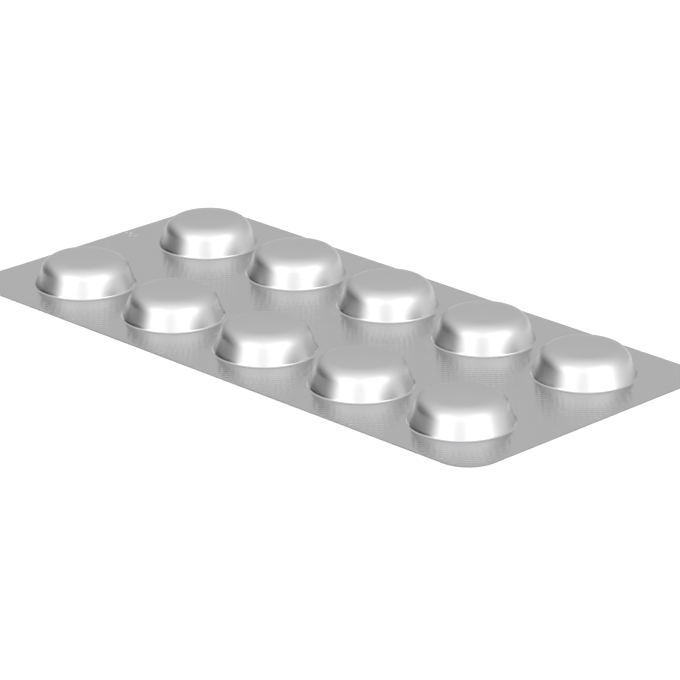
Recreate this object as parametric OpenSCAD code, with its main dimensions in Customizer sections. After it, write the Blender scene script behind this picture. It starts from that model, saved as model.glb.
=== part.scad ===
// Blister pack of round tablets: a card of two foils sealed together, with rows
// of deep-drawn round pockets. It lies on its flat lidding foil, pockets up.
// The origin is the centre of the underside, +X runs along the rows and +Z is up.

/* [Card] */
// Thickness of the forming foil and the lidding foil, sealed together
card_t = 0.2; // [0.1:0.05:0.6]
// Radius of the card's corners
corner_r = 5; // [1:0.5:9]
// Flat seal between the end pockets and the card's short edges
end_seal = 5.45; // [3:0.05:15]
// Flat seal between the outer pockets and the card's long edges
side_seal = 4.7; // [3:0.05:12]

/* [Pocket grid] */
// Number of pockets in a row
pockets_per_row = 5; // [1:1:7]
// Number of rows
row_count = 2; // [1:1:3]
// Flat seal between neighbouring pockets in a row
pocket_gap = 3.9; // [1:0.1:12]
// Flat seal between neighbouring rows
row_gap = 9.9; // [1:0.1:20]

/* [Pocket] */
// Diameter of a pocket's mouth, where its fillet meets the card
mouth_d = 16.1; // [13:0.1:22]
// Height of a pocket above the card
pocket_h = 4.6; // [3.8:0.1:6]
// Angle between a pocket's wall and the card
wall_angle = 70; // [60:1:85]
// Radius of the fillet between the card and the wall
mouth_r = 0.4; // [0.2:0.1:1.2]
// Radius of the shoulder between the wall and the crown
shoulder_r = 2.8; // [1:0.1:3.6]
// Radius of the shallow crown that closes the top
crown_r = 34; // [20:1:120]

/* [Hidden] */
$fn = 120;
// The crown is a short piece of a large circle, so that circle has finer steps
crown_steps = 720;

pocket_pitch = mouth_d + pocket_gap;
row_pitch = mouth_d + row_gap;
card_l = pocket_pitch * (pockets_per_row - 1) + mouth_d + 2 * end_seal;
card_w = row_pitch * (row_count - 1) + mouth_d + 2 * side_seal;

// The pocket's outline in its own half plane: x is the distance from its axis
// and y the height above the card. A unit step up the wall, and the direction
// from the wall into the pocket:
wall_up = [-cos(wall_angle), sin(wall_angle)];
wall_in = [-sin(wall_angle), -cos(wall_angle)];
// The fillet's circle touches the card at the mouth and the wall at wall_foot
fillet_centre = [mouth_d / 2, mouth_r];
wall_foot = fillet_centre + mouth_r * wall_in;
// The crown's circle is centred on the pocket's axis
crown_centre = [0, pocket_h - crown_r];
// The shoulder's circle touches the wall and lies inside the crown's circle, so
// its centre is shoulder_r in from the wall and crown_r - shoulder_r from the
// crown's centre: the root of a square equation in the distance up the wall
from_crown = wall_foot + shoulder_r * wall_in - crown_centre;
along_wall = from_crown * wall_up;
wall_l = sqrt(along_wall ^ 2 - from_crown * from_crown + (crown_r - shoulder_r) ^ 2) - along_wall;
wall_top = wall_foot + wall_l * wall_up;
shoulder_centre = wall_top + shoulder_r * wall_in;
// The shoulder meets the crown on the line through both centres
crown_out = (shoulder_centre - crown_centre) / (crown_r - shoulder_r);
crown_edge = crown_centre + crown_r * crown_out;

// Rectangle with round corners, as the card is punched
module card_outline() {
    square([card_l - 2 * corner_r, card_w], center = true);
    square([card_l, card_w - 2 * corner_r], center = true);
    for (x = [-1, 1], y = [-1, 1])
        translate([x * (card_l / 2 - corner_r), y * (card_w / 2 - corner_r)])
            circle(corner_r);
}

// Half section of a pocket: straight wall, round shoulder, shallow crown and a
// hollow fillet at the mouth, with the card's own thickness under it. The
// shoulder is the part of its circle between the wall's normal and the crown's
module pocket_section() {
    difference() {
        polygon([[0, -card_t], [mouth_d / 2, -card_t], [mouth_d / 2, 0], wall_foot, wall_top,
                 shoulder_centre, crown_edge, [0, crown_edge.y]]);
        translate(fillet_centre)
            circle(mouth_r);
    }
    intersection() {
        translate(shoulder_centre)
            circle(shoulder_r);
        polygon([shoulder_centre, shoulder_centre - 2 * shoulder_r * wall_in,
                 shoulder_centre + 2 * shoulder_r * crown_out]);
    }
    intersection() {
        translate(crown_centre)
            circle(crown_r, $fn = crown_steps);
        translate([0, crown_edge.y])
            square([crown_edge.x, crown_r]);
    }
}

// One pocket, closed and full
module pocket() {
    rotate_extrude()
        pocket_section();
}

module blister_pack() {
    color("silver") {
        linear_extrude(card_t)
            card_outline();
        for (column = [0:pockets_per_row - 1], row = [0:row_count - 1])
            translate([(column - (pockets_per_row - 1) / 2) * pocket_pitch,
                       (row - (row_count - 1) / 2) * row_pitch, card_t])
                pocket();
    }
}

blister_pack();
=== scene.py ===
# %% [markdown]
# # A blister pack of round tablets
# The object is a card of metal foil, about as long as a hand is wide, with ten
# round pockets pressed up out of it. Each pocket hides one tablet. Two foils
# make it: the forming web on top, which is drawn into the pockets, and the flat
# lidding foil that is heat-sealed to its back.
#
# Everything shiny is judged by what it mirrors, so two things matter most here:
# surfaces whose curvature is exact, and surroundings that are plain and soft.
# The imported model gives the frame, and every piece is made to its box.

import math

import bpy
import numpy as np
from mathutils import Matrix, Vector
from mathutils.geometry import delaunay_2d_cdt


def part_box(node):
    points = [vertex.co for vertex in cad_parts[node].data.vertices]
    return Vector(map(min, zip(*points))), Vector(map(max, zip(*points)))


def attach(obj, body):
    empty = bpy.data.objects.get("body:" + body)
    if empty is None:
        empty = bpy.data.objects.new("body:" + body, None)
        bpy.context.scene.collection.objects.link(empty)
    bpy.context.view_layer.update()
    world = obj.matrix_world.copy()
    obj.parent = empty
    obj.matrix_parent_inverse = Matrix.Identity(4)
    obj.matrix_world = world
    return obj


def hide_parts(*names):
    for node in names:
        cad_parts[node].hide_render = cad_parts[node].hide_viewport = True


MM = 0.001
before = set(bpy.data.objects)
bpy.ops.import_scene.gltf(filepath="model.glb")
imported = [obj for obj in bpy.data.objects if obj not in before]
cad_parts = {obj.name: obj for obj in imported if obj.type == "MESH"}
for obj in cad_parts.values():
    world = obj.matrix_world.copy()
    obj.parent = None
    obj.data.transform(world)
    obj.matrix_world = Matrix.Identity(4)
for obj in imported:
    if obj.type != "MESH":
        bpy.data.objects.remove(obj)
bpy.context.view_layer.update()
card_low, card_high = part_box("blister_pack")
card_l, card_w = card_high.x - card_low.x, card_high.y - card_low.y
print("card", round(card_l / MM, 2), "by", round(card_w / MM, 2), "mm")

# %% [markdown]
# ## The sizes
# The card's length and width come from the frame. The pockets' own sizes are
# the ones that the tool maker would write on the drawing of the forming die.

# %% Sizes of the card and the pocket grid
card_t = 0.2 * MM
corner_r = 5 * MM
pockets_per_row, row_count = 5, 2
pocket_pitch, row_pitch = 20 * MM, 26 * MM
mouth_radius = 8.05 * MM
pocket_h = 4.6 * MM
wall_angle = math.radians(70)
mouth_fillet = 0.4 * MM
shoulder_r = 2.8 * MM
crown_r = 34 * MM

columns = (np.arange(pockets_per_row) - (pockets_per_row - 1) / 2) * pocket_pitch
rows = (np.arange(row_count) - (row_count - 1) / 2) * row_pitch
pocket_centres = np.array([(x, y) for y in rows for x in columns])
print(len(pocket_centres), "pockets, the last at", np.round(pocket_centres[-1] / MM, 2), "mm")

# %% [markdown]
# ## The pocket's section
# A cold-formed pocket has no corner anywhere, because the foil would tear: a
# fillet turns the card up into a steep wall, a large shoulder turns the wall
# over, and a very shallow crown closes the top. All three curves are arcs that
# touch each other, so the mirrored light runs on without a break. The slope of
# the surface is the natural parameter: on an arc, the point is the centre plus
# the radius in the direction (sin slope, cos slope).


# %% Section of a pocket, from its top to its mouth
def pocket_section(crown_steps=10, shoulder_steps=22, wall_steps=6, fillet_steps=10):
    """Distances from the axis and heights over the card, from the top down to the mouth.

    The shoulder's centre lies shoulder_r inside the wall's line, and crown_r less shoulder_r
    from the crown's centre, so it is where that line crosses that circle."""
    up_wall = np.array([-math.cos(wall_angle), math.sin(wall_angle)])
    into_wall = np.array([-math.sin(wall_angle), -math.cos(wall_angle)])
    fillet_centre = np.array([mouth_radius, mouth_fillet])
    wall_foot = fillet_centre + mouth_fillet * into_wall
    crown_centre = np.array([0, pocket_h - crown_r])
    from_crown = wall_foot + shoulder_r * into_wall - crown_centre
    along = from_crown @ up_wall
    wall_l = math.sqrt(along ** 2 - from_crown @ from_crown + (crown_r - shoulder_r) ** 2) - along
    wall_top = wall_foot + wall_l * up_wall
    shoulder_centre = wall_top + shoulder_r * into_wall
    crown_out = (shoulder_centre - crown_centre) / (crown_r - shoulder_r)
    crown_slope = math.asin(crown_out[0])

    def arc(centre, radius, slopes):
        return centre + radius * np.stack([np.sin(slopes), np.cos(slopes)], axis=1)

    crown = arc(crown_centre, crown_r, np.linspace(0, crown_slope, crown_steps + 1))
    shoulder = arc(shoulder_centre, shoulder_r, np.linspace(crown_slope, wall_angle, shoulder_steps + 1))
    wall = wall_top + np.linspace(0, 1, wall_steps + 1)[:, None] * (wall_foot - wall_top)
    fillet = arc(fillet_centre, -mouth_fillet, np.linspace(wall_angle, 0, fillet_steps + 1))
    return np.concatenate([crown, shoulder[1:], wall[1:], fillet[1:]]).T


section_r, section_h = pocket_section()
print("section:", len(section_r), "points, out to", round(section_r[-1] / MM, 3), "mm from the axis")

# %% [markdown]
# ## Foil is never quite flat
# Drawing the pockets pulls the card a little, and the sealing tool presses it
# back. What is left is a slow ripple of a few hundredths of a millimetre. It
# is far too small to see as a shape, but a mirror doubles every slope. Here it
# is a sum of a few long sine waves on the upper foil, and the lidding foil lies
# flat on the table.


# %% Ripple of the foil
# Height and length of each wave in mm, then its heading and phase in radians
ripple_waves = [(0.013, 31, 0.4, 0.3), (0.010, 19, 1.9, 2.1),
                (0.008, 12.5, 1.1, 4.0), (0.006, 8.3, 2.6, 1.2)]


def ripple(x, y):
    """Height of the foil over its flat plane: four sine waves that cross at odd angles."""
    total = np.zeros_like(x)
    for height, length, heading, phase in ripple_waves:
        along = x * math.cos(heading) + y * math.sin(heading)
        total += height * MM * np.sin(2 * math.pi * along / (length * MM) + phase)
    return total


print("ripple: at most", round(sum(wave[0] for wave in ripple_waves), 3), "mm either way")

# %% [markdown]
# ## The seal's knurl
# The two foils are joined between hot plates whose face is cut with small
# pyramids. They leave a grid of diamonds over the whole flat part, except a
# smooth ring round each pocket where the plate has a relief. Each cell of the
# grid is one low pyramid. Its faces are left flat shaded, because a pressed
# pyramid has flat faces that glint one after the other.

# %% The knurl as a function of the place
knurl_pitch = 0.82 * MM
knurl_depth = 0.028 * MM
relief_radius = mouth_radius + 0.5 * MM
relief_fade = 0.8 * MM


def nearest_axis(x, y):
    """Distance from each point to the axis of the nearest pocket."""
    dx = x[..., None] - pocket_centres[:, 0]
    dy = y[..., None] - pocket_centres[:, 1]
    return np.sqrt(dx ** 2 + dy ** 2).min(axis=-1)


def knurl(x, y):
    """Depth pressed into the foil: none on the top of each pyramid, all of it in the grooves.

    The grid is turned by 45 degrees. In a cell, the depth grows with the larger of the two
    distances from the cell's middle, and it fades out towards each pocket's relief."""
    u = (x + y) / math.sqrt(2) / knurl_pitch
    v = (x - y) / math.sqrt(2) / knurl_pitch
    off_middle = 2 * np.maximum(abs(u - np.floor(u) - 0.5), abs(v - np.floor(v) - 0.5))
    fade = np.clip((nearest_axis(x, y) - relief_radius) / relief_fade, 0, 1)
    return knurl_depth * off_middle * fade


print("knurl:", round(knurl_pitch / MM, 2), "mm pitch,", round(knurl_depth / MM, 3), "mm deep")

# %% [markdown]
# ## One small crease
# A card that has been handled shows it: near its left end the foil has a short
# raised crease hardly a millimetre long, with a second one beside it. Both are
# low ridges along a line. They are too fine for the knurl's points, so the
# sheet gets a patch of closer points there.

# %% The crease as a function of the place
crease_lines = np.array([[(-52.9, 7.1), (-52.1, 7.5)], [(-51.6, 7.1), (-50.8, 6.8)]]) * MM
crease_height, crease_reach = 0.17 * MM, 0.48 * MM


def crease(x, y):
    """Height of the ridges: (1 - (distance from the line / reach) squared) squared, times the height."""
    total = np.zeros_like(x)
    for start, end in crease_lines:
        run = end - start
        share = np.clip(((x - start[0]) * run[0] + (y - start[1]) * run[1]) / (run @ run), 0, 1)
        distance = np.hypot(x - start[0] - share * run[0], y - start[1] - share * run[1])
        total += crease_height * (1 - np.clip(distance / crease_reach, 0, 1) ** 2) ** 2
    return total


def crease_points(spacing=0.12 * MM):
    """A close grid over the box round both lines, kept where it is on a ridge or just beside it.

    A point is kept when any of the eight places one spacing away from it is raised."""
    box_margin = 1.5 * crease_reach
    low = crease_lines.min(axis=(0, 1)) - box_margin
    high = crease_lines.max(axis=(0, 1)) + box_margin
    x, y = np.meshgrid(np.arange(low[0], high[0], spacing), np.arange(low[1], high[1], spacing))
    near = np.stack([x.ravel(), y.ravel()], axis=1)
    turn = np.arange(8) * math.pi / 4
    beside = near[:, None, :] + spacing * np.stack([np.cos(turn), np.sin(turn)], axis=1)
    raised = crease(beside[..., 0], beside[..., 1]) > 0
    return near[raised.any(axis=1)]


print("crease:", len(crease_points()), "extra points")

# %% [markdown]
# ## Laying out the flat sheet
# The flat part has straight edges, round corners, ten round holes and a grid
# that runs at an angle to all of them. No single grid of faces fits that, so
# the points are put where the shape needs them and a Delaunay triangulation
# joins them. The grooves are given to it as fixed edges, so every groove stays
# a straight crease.


# %% Outline of the card, as points in order
def card_outline(arc_steps=14):
    """Points anticlockwise round the card: an arc at each corner, and even steps between."""
    quarter = np.linspace(0, math.pi / 2, arc_steps + 1)
    middles = [(1, 1), (-1, 1), (-1, -1), (1, -1)]
    arcs = []
    for turn, (sx, sy) in enumerate(middles):
        centre = np.array([sx * (card_l / 2 - corner_r), sy * (card_w / 2 - corner_r)])
        angle = quarter + turn * math.pi / 2
        arcs.append(centre + corner_r * np.stack([np.cos(angle), np.sin(angle)], axis=1))
    points = []
    for here, after in zip(arcs, arcs[1:] + arcs[:1]):
        span = after[0] - here[-1]
        count = int(np.linalg.norm(span) / knurl_pitch)
        steps = np.arange(1, count)[:, None] / count
        points += [here, here[-1] + steps * span]
    return np.concatenate(points)


# %% Ring of points at a pocket's relief, and the grid of the knurl
# How far the grid's points and the crease's keep off the outline and the rings
groove_margin = 0.35 * knurl_pitch
crease_margin = 0.15 * MM

ring_steps = 96
ring_angle = np.arange(ring_steps) * 2 * math.pi / ring_steps
ring = relief_radius * np.stack([np.cos(ring_angle), np.sin(ring_angle)], axis=1)


def on_sheet(points, margin):
    """True where a point is inside the card's outline and outside the rings, by a margin."""
    x, y = abs(points[:, 0]), abs(points[:, 1])
    corner = np.hypot(x - (card_l / 2 - corner_r), y - (card_w / 2 - corner_r))
    in_corner = (x > card_l / 2 - corner_r) & (y > card_w / 2 - corner_r)
    inside = (x < card_l / 2 - margin) & (y < card_w / 2 - margin)
    inside &= ~in_corner | (corner < corner_r - margin)
    return inside & (nearest_axis(points[:, 0], points[:, 1]) > relief_radius + margin)


def knurl_grid():
    """Groove crossings and pyramid tops that lie on the sheet, and the grooves between crossings."""
    reach = int((card_l + card_w) / 2 / math.sqrt(2) / knurl_pitch) + 2
    steps = np.arange(-reach, reach + 1)
    u, v = np.meshgrid(steps, steps, indexing="ij")
    number = np.arange(u.size).reshape(u.shape)
    along_u = np.stack([number[:-1], number[1:]], axis=-1).reshape(-1, 2)
    along_v = np.stack([number[:, :-1], number[:, 1:]], axis=-1).reshape(-1, 2)

    def place(a, b):
        return knurl_pitch / math.sqrt(2) * np.stack([(a + b).ravel(), (a - b).ravel()], axis=1)

    crossings, tops = place(u, v), place(u + 0.5, v + 0.5)
    keep = on_sheet(crossings, groove_margin)
    renumber = np.cumsum(keep) - 1
    grooves = np.concatenate([along_u, along_v])
    grooves = renumber[grooves[keep[grooves].all(axis=1)]]
    return crossings[keep], tops[on_sheet(tops, groove_margin)], grooves


outline = card_outline()
crossings, tops, grooves = knurl_grid()
print("outline", len(outline), "points, knurl", len(crossings), "crossings and", len(tops), "tops")


# %% Triangulate the sheet once, for both foils
def closed_loop(first, count):
    """Edges that join a run of point numbers into a ring."""
    number = np.arange(count)
    return first + np.stack([number, (number + 1) % count], axis=1)


def triangulate_sheet():
    """Points of the sheet in order (outline, rings, knurl, crease) and its triangles, seen from above.

    The triangulation covers the holes too, so a triangle is dropped when its middle is nearer to
    a pocket's axis than the straight edges between the ring's points are."""
    rings = (pocket_centres[:, None, :] + ring).reshape(-1, 2)
    extra = crease_points()
    extra = extra[on_sheet(extra, crease_margin)]
    points = np.concatenate([outline, rings, crossings, tops, extra])
    ring_starts = len(outline) + ring_steps * np.arange(len(pocket_centres))
    edges = [closed_loop(0, len(outline))]
    edges += [closed_loop(start, ring_steps) for start in ring_starts]
    edges.append(grooves + len(outline) + len(rings))
    in_mm = [Vector(p) for p in points / MM]
    all_triangles, nearness = 0, 1e-5
    result = delaunay_2d_cdt(in_mm, np.concatenate(edges).tolist(), [], all_triangles, nearness)
    faces, sources = result[2], result[3]
    first_source = np.array([s[0] for s in sources])
    triangles = first_source[np.array(faces)]
    middle = points[triangles].mean(axis=1)
    chord = relief_radius * math.cos(math.pi / ring_steps)
    return points, triangles[nearest_axis(middle[:, 0], middle[:, 1]) > chord]


sheet_points, sheet_triangles = triangulate_sheet()
print("sheet:", len(sheet_points), "points,", len(sheet_triangles), "triangles")

# %% [markdown]
# ## The forming web
# Each pocket is a surface of two parameters, the place along its section and
# the turn about its axis. Its last ring is the ring that the sheet already has,
# so the two are welded by number and not by distance. A rim goes down at the
# card's edge to a flat back, which makes the web one closed body.


# %% Faces of a round patch
def patch_faces(first, rings, steps):
    """Triangles round the middle point, then squares from ring to ring, seen from above."""
    turn = np.arange(steps)
    after = (turn + 1) % steps
    cap = np.stack([np.full(steps, first), first + 1 + turn, first + 1 + after], axis=1)
    inner = first + 1 + (np.arange(rings - 1) * steps)[:, None]
    quads = np.stack([inner + turn, inner + steps + turn, inner + steps + after, inner + after], axis=-1)
    return cap.tolist() + quads.reshape(-1, 4).tolist()


def patch_points(centre, radius, height):
    """The middle point, then one ring for each further point of the section."""
    x = centre[0] + radius[1:, None] * np.cos(ring_angle)
    y = centre[1] + radius[1:, None] * np.sin(ring_angle)
    z = np.repeat(height[1:, None], ring_steps, axis=1)
    body = np.stack([x, y, z], axis=-1).reshape(-1, 3)
    return np.concatenate([[[centre[0], centre[1], height[0]]], body])


def foil_faces(radius, height, plane, press):
    """One face of a foil: ten patches, the sheet between them, and which faces are smooth.

    plane gives the height of the flat foil at a place, the section is added to it on the
    patches, and press times the knurl is taken off it on the sheet. The outline's points
    come first, so that a rim can be hung on them."""
    edge_count, ring_count = len(outline), ring_steps * len(pocket_centres)
    x, y = sheet_points.T
    sheet = np.stack([x, y, plane(x, y) - press * knurl(x, y)], axis=1)
    number = np.arange(len(sheet_points))
    points, faces, first = [sheet[:edge_count]], [], edge_count
    for pocket, centre in enumerate(pocket_centres):
        patch = patch_points(centre, radius, height)
        patch[:, 2] += plane(patch[:, 0], patch[:, 1])
        points.append(patch)
        faces += patch_faces(first, len(radius) - 1, ring_steps)
        first += len(patch)
        ring_start = edge_count + pocket * ring_steps
        number[ring_start:ring_start + ring_steps] = np.arange(first - ring_steps, first)
    points.append(sheet[edge_count + ring_count:])
    number[edge_count + ring_count:] = first + np.arange(len(sheet) - edge_count - ring_count)
    smooth = [True] * len(faces) + [False] * len(sheet_triangles)
    return np.concatenate(points), faces + number[sheet_triangles].tolist(), smooth


def close_back(points, faces, smooth, back_z):
    """Hangs a rim on the outline and closes it with one flat face at the height back_z."""
    count, first = len(outline), len(points)
    back = np.column_stack([outline, np.full(count, back_z)])
    here, after = np.arange(count), (np.arange(count) + 1) % count
    rim = np.stack([here, first + here, first + after, after], axis=1)
    faces = faces + rim.tolist() + [(first + here[::-1]).tolist()]
    return np.concatenate([points, back]), faces, smooth + [False] * (count + 1)


def make_mesh(name, points, faces, smooth):
    """A mesh object from arrays of points and lists of faces."""
    mesh = bpy.data.meshes.new(name)
    mesh.from_pydata(points, [], faces)
    mesh.polygons.foreach_set("use_smooth", smooth)
    mesh.update()
    piece = bpy.data.objects.new(name, mesh)
    bpy.context.collection.objects.link(piece)
    triangles = sum(len(f) - 2 for f in faces)
    print(name, len(points), "points,", triangles, "triangles")
    return piece


# %% Make the forming web
web_back = 0.06 * MM


def web_plane(x, y):
    """The card's top, with the ripple and the crease."""
    return card_t - knurl_depth + ripple(x, y) + crease(x, y)


web_r = np.append(section_r, relief_radius)
web_h = np.append(section_h, 0)
points, faces, smooth = foil_faces(web_r, web_h, web_plane, 1)
forming_web = make_mesh("forming_web", *close_back(points, faces, smooth, web_back))

# %% [markdown]
# ## The lidding foil
# The back of the card is a thinner foil. It carries the same knurl, and over
# each pocket it stays smooth and sinks in a little, because nothing backed it
# there when it was pressed. It is the same sheet, turned to face down.

# %% Make the lidding foil
lid_face = 0.055 * MM
lid_dish = 0.03 * MM
lid_press = -0.6


def lid_plane(x, y):
    """The card's underside, which lies flat."""
    return np.zeros_like(x)


lid_r = np.linspace(0, relief_radius, 9)
lid_h = lid_dish * (1 - (lid_r / relief_radius) ** 2) ** 2
points, faces, smooth = close_back(*foil_faces(lid_r, lid_h, lid_plane, lid_press), lid_face)
lidding_foil = make_mesh("lidding_foil", points, [face[::-1] for face in faces], smooth)


# %% Mark the cut edge and hand both pieces over
def mark_edge(piece):
    """Gives the second material, a dull grey with painted shade, to the cut edge, which is the run of faces
    just before the last.
    """
    second = np.zeros(len(piece.data.polygons), dtype=np.int32)
    second[-1 - len(outline):-1] = 1
    piece.data.polygons.foreach_set("material_index", second)


for piece in (forming_web, lidding_foil):
    mark_edge(piece)
    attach(piece, "root")
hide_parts("blister_pack")
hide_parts("blister_pack")

# %% [markdown]
# ## The finish
# Rolled aluminium is a metal with a satin face. Both foils carry a thin clear
# coat of film or lacquer, and the rolls leave faint lines that run along the
# card. The shader is a plain metal whose roughness wanders a little along
# those lines, with the lines themselves as a very low bump. Drawing a pocket
# stretches the film and dulls it, so the roughness rises with the height over
# the card. The punched edge shows the film and the glue between the foils and
# gets a dull material of its own, whose dark grey is painted shade.
#
# A material is a graph of nodes. Two small helpers keep it readable: one fills
# a node's sockets, with numbers or with links, and one makes a node first.


# %% Helpers for node graphs
def feed(tree, node, inputs):
    """Gives each named socket of a node its value, or the link when the value is a socket."""
    for key, value in inputs.items():
        if isinstance(value, bpy.types.NodeSocket):
            tree.links.new(value, node.inputs[key])
        else:
            node.inputs[key].default_value = value


def add_node(tree, kind, inputs, **options):
    """A new shader node with its options set and its sockets fed."""
    node = tree.nodes.new("ShaderNode" + kind)
    for key, option in options.items():
        setattr(node, key, option)
    feed(tree, node, inputs)
    return node


def combine(tree, operation, a, b, clamp=False):
    """Socket with the sum, the product or another operation of two sockets or numbers."""
    return add_node(tree, "Math", {0: a, 1: b}, operation=operation, use_clamp=clamp).outputs["Value"]


def remap(tree, value, start, full, low, high, curve="LINEAR"):
    """Socket that goes from low to high while the value goes from start to full, and no further."""
    ends = {"Value": value, "From Min": start, "From Max": full, "To Min": low, "To Max": high}
    return add_node(tree, "MapRange", ends, interpolation_type=curve).outputs["Result"]


# %% Foil material
# Noise cells per metre: the rolls drew the lines out along X, and the clouds are round
line_cells, cloud_cells = (60, 2500, 2500), 90
noise_low, noise_high = 0.7, 1.3
# The roughness has risen in full at this height over the card
drawn_height = 0.5 * MM
# Tint of the reflection at a grazing angle, where the film takes some of it
edge_tint = 0.84


def foil_material(name, colour, roughness, drawn_roughness, line_depth):
    """Metal whose roughness and height follow noise that is drawn out along X.

    drawn_roughness is added to the roughness above the card, where the foil was drawn."""
    material = bpy.data.materials.new(name)
    material.use_nodes = True
    tree = material.node_tree
    place = add_node(tree, "TexCoord", {}).outputs["Object"]
    stretched = add_node(tree, "Mapping", {"Vector": place, "Scale": line_cells}).outputs["Vector"]
    lines = add_node(tree, "TexNoise", {"Vector": stretched, "Scale": 1, "Detail": 3}).outputs["Fac"]
    clouds = add_node(tree, "TexNoise", {"Vector": place, "Scale": cloud_cells, "Detail": 4}).outputs["Fac"]
    satin = remap(tree, combine(tree, "ADD", lines, clouds), noise_low, noise_high, *roughness)
    height = add_node(tree, "SeparateXYZ", {"Vector": place}).outputs["Z"]
    drawn = remap(tree, height, card_t, card_t + drawn_height, 0, drawn_roughness)
    bump = add_node(tree, "Bump", {"Height": lines, "Distance": line_depth, "Strength": 1})
    feed(tree, tree.nodes["Principled BSDF"], {
        "Base Color": (*colour, 1),
        "Metallic": 1,
        "Specular Tint": (edge_tint, edge_tint, edge_tint, 1),
        "Roughness": combine(tree, "ADD", satin, drawn),
        "Normal": bump.outputs["Normal"],
    })
    print(name, "roughness", roughness, "on the card and", drawn_roughness, "more on the pockets")
    return material


web_foil = foil_material("web_foil", (0.62, 0.62, 0.625), (0.18, 0.22), 0.18, 0.0008 * MM)
lid_foil = foil_material("lid_foil", (0.64, 0.64, 0.642), (0.16, 0.24), 0, 0.0006 * MM)

# %% Cut edge, whose dark grey is painted shade, and both materials on both foils
# The punched edge is matt film and glue; its dark grey of 0.24 is painted shade on the rim.
cut_edge_painted_shade = bpy.data.materials.new("cut_edge_painted_shade")
cut_edge_painted_shade.use_nodes = True
feed(cut_edge_painted_shade.node_tree, cut_edge_painted_shade.node_tree.nodes["Principled BSDF"],
     {"Base Color": (0.24, 0.24, 0.24, 1), "Roughness": 0.6})

for piece, foil in ((forming_web, web_foil), (lidding_foil, lid_foil)):
    piece.data.materials.append(foil)
    piece.data.materials.append(cut_edge_painted_shade)
    print(piece.name, "has", [material.name for material in piece.data.materials])

# %% [markdown]
# ## The camera
# A long lens from a little over half a metre away shows the card almost
# without perspective. The focal length is given in pixels of the frame, as it
# comes out when straight edges of the card are followed to where they meet,
# and the sensor's width turns it into millimetres.

# %% Camera
view_azimuth = math.radians(45.0)
view_elevation = math.radians(21.05)
view_distance = 596 * MM
view_target = Vector((5.3 * MM, -2.64 * MM, card_t))
focal_pixels, frame_pixels = 4000, 680

to_camera_level = Vector((math.sin(view_azimuth), -math.cos(view_azimuth), 0))
to_camera = to_camera_level * math.cos(view_elevation) + Vector((0, 0, math.sin(view_elevation)))
camera = bpy.data.objects.new("camera", bpy.data.cameras.new("camera"))
bpy.context.collection.objects.link(camera)
camera.data.lens = camera.data.sensor_width * focal_pixels / frame_pixels
camera.data.clip_start, camera.data.clip_end = 0.01, 20
camera.location = view_target + to_camera * view_distance
camera.rotation_euler = to_camera.to_track_quat("Z", "Y").to_euler()
bpy.context.scene.camera = camera
print("lens", round(camera.data.lens, 1), "mm at", round(view_distance, 3), "m")

# %% [markdown]
# ## The light
# A shiny pack is photographed in soft light from one big bright side. Here the
# world is that tent: bright behind the camera, falling off smoothly to a plain
# grey at the back. An upright strip of light stands on each side of the camera,
# and they make the two bright columns on every pocket's front. The tent is open
# low on the left, where the pockets' left walls mirror the dark. All of it is
# worked out from the ray's own direction, with soft steps and no edges.

# %% World and its helpers
world = bpy.data.worlds.new("studio")
bpy.context.scene.world = world
world.use_nodes = True
sky = world.node_tree
ray = add_node(sky, "TexCoord", {}).outputs["Generated"]


def studio_direction(azimuth, elevation):
    """Unit vector at an angle to the right of the camera, seen from the object, and above the floor."""
    turn, rise = view_azimuth + math.radians(azimuth), math.radians(elevation)
    return (math.sin(turn) * math.cos(rise), -math.cos(turn) * math.cos(rise), math.sin(rise))


def along(direction):
    """Socket with the cosine between the ray and a direction."""
    return add_node(sky, "VectorMath", {0: ray, 1: direction}, operation="DOT_PRODUCT").outputs["Value"]


def soft_step(value, start, full, low, high):
    """Socket that goes from low to high in an S curve while the value goes from start to full."""
    return remap(sky, value, start, full, low, high, "SMOOTHSTEP")


def soft_patch(direction, start, full, low, high):
    """Socket that goes from low to high as the ray nears a direction; start and full are cosines."""
    return soft_step(along(direction), start, full, low, high)


print("the camera looks from", np.round(studio_direction(0, math.degrees(view_elevation)), 3))

# %% The tent, its two strips and the gap
# Sines of the heights over the floor between which a strip of light ends
strip_top = (0.62, 0.90)
# Cosines off a strip's own direction between which it begins, so that it has no twin behind
strip_front = (0.1, 0.3)


def upright_strip(azimuth, edge, core, strength):
    """Socket for an upright strip of light: its sides are edge and core, as sines off its middle."""
    sideways = combine(sky, "ABSOLUTE", along(studio_direction(azimuth + 90, 0)), 0)
    width = soft_step(sideways, core, edge, strength, 0)
    front = soft_step(along(studio_direction(azimuth, 0)), *strip_front, 0, 1)
    top = soft_step(along((0, 0, 1)), *strip_top, 1, 0)
    return combine(sky, "MULTIPLY", combine(sky, "MULTIPLY", width, front), top)


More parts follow.
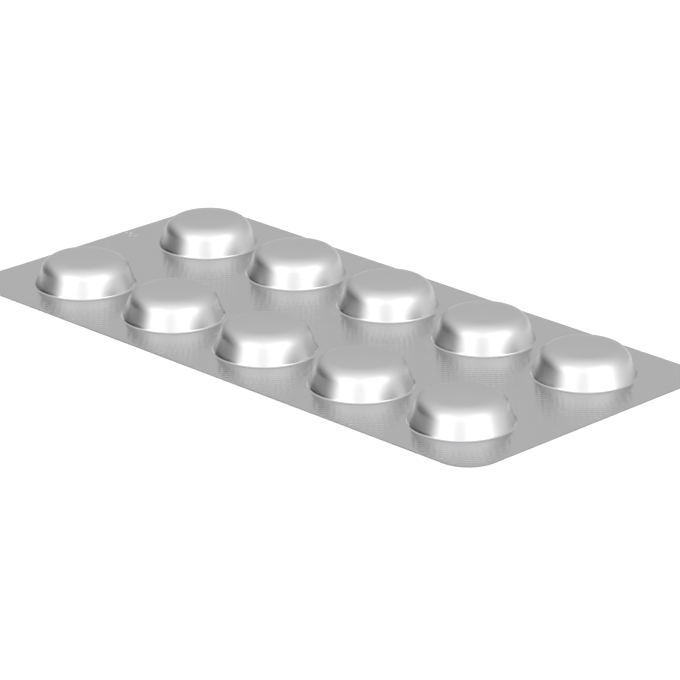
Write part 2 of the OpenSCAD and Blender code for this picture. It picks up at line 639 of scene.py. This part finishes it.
tent = soft_patch(studio_direction(0, 12), start=-0.7, full=0.9, low=0.705, high=1.36)
left_strip = upright_strip(-45, edge=0.46, core=0.18, strength=1.1)
right_strip = upright_strip(42, edge=0.54, core=0.26, strength=1.15)
dark_gap = soft_patch(studio_direction(-100, -16), start=0.44, full=0.86, low=1, high=0)
strips = combine(sky, "ADD", left_strip, right_strip)
light = combine(sky, "MULTIPLY", combine(sky, "ADD", tent, strips), dark_gap)

# The camera itself sees plain white in place of the tent
seen_by_camera = add_node(sky, "LightPath", {}).outputs["Is Camera Ray"]
strength = add_node(sky, "Mix", {0: seen_by_camera, 2: light, 3: 1}, data_type="FLOAT").outputs[0]
feed(sky, sky.nodes["Background"], {"Color": (1, 1, 1, 1), "Strength": strength})
print("world:", len(sky.nodes), "nodes")

# %% [markdown]
# ## The floor
# The floor is a large matt sheet just under the card, which keeps the card's
# shadow. White paint that the tent lights is a little grey in a picture, so
# the rays that come from the camera or from a mirror see a faint glow on top.
# It adds no light to anything matt, because such rays don't see it.

# %% Floor
floor_half, floor_z = 3, -0.05 * MM
floor_mesh = bpy.data.meshes.new("floor")
corners = [(x * floor_half, y * floor_half, floor_z) for x, y in ((-1, -1), (1, -1), (1, 1), (-1, 1))]
floor_mesh.from_pydata(corners, [], [(0, 1, 2, 3)])
floor = bpy.data.objects.new("floor", floor_mesh)
bpy.context.collection.objects.link(floor)

floor_paint = bpy.data.materials.new("floor_paint")
floor_paint.use_nodes = True
paint = floor_paint.node_tree
path = add_node(paint, "LightPath", {}).outputs
mirrored = combine(paint, "ADD", path["Is Camera Ray"], path["Is Glossy Ray"], clamp=True)
seen = combine(paint, "ADD", mirrored, path["Is Transmission Ray"], clamp=True)
white_share, glow_share = 0.85, 0.15
feed(paint, paint.nodes["Principled BSDF"], {
    "Base Color": (white_share, white_share, white_share, 1),
    "Roughness": 1,
    "Specular IOR Level": 0,
    "Emission Color": (1, 1, 1, 1),
    "Emission Strength": combine(paint, "MULTIPLY", seen, glow_share),
})
floor_mesh.materials.append(floor_paint)
print("floor:", 2 * floor_half, "m wide,", round(-floor_z / MM, 3), "mm under the card")

# %% [markdown]
# ## Colour
# The Standard transform shows each colour as it was written.

bpy.context.scene.view_settings.view_transform = "Standard"
